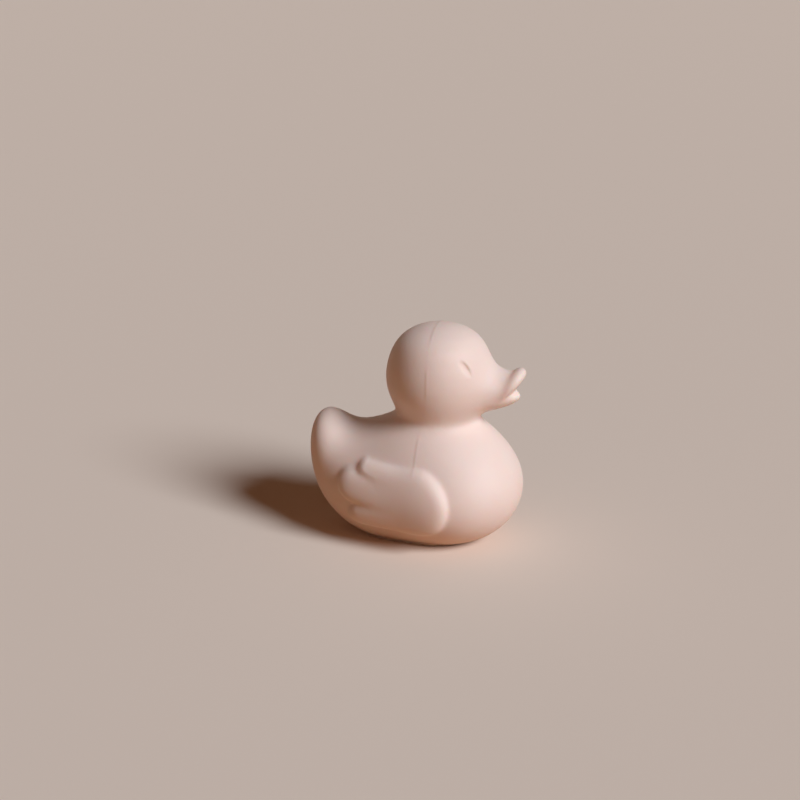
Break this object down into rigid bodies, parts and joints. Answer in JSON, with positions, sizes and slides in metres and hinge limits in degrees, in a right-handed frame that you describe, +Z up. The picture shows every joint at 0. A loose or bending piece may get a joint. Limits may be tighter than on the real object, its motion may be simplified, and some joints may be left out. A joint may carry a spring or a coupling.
{
  "type": "rubber duck",
  "caption": "Small bath duck moulded as one closed hollow rubber toy, with raised wings, slanted closed eyes and an upturned tail. Stands on a flat spot.",
  "frame": {"origin": "middle of the flat spot that the duck stands on, below the duck on its mirror plane", "axes": "+X towards the bill, +Z up, +Y to the duck's left; Y = 0 is the mirror plane"},
  "size_m": [0.0745, 0.0578, 0.0752],
  "materials": {
    "rubber": "matte"
  },
  "bodies": {
    "root": {"duck": "rubber"}
  },
  "joints": []
}
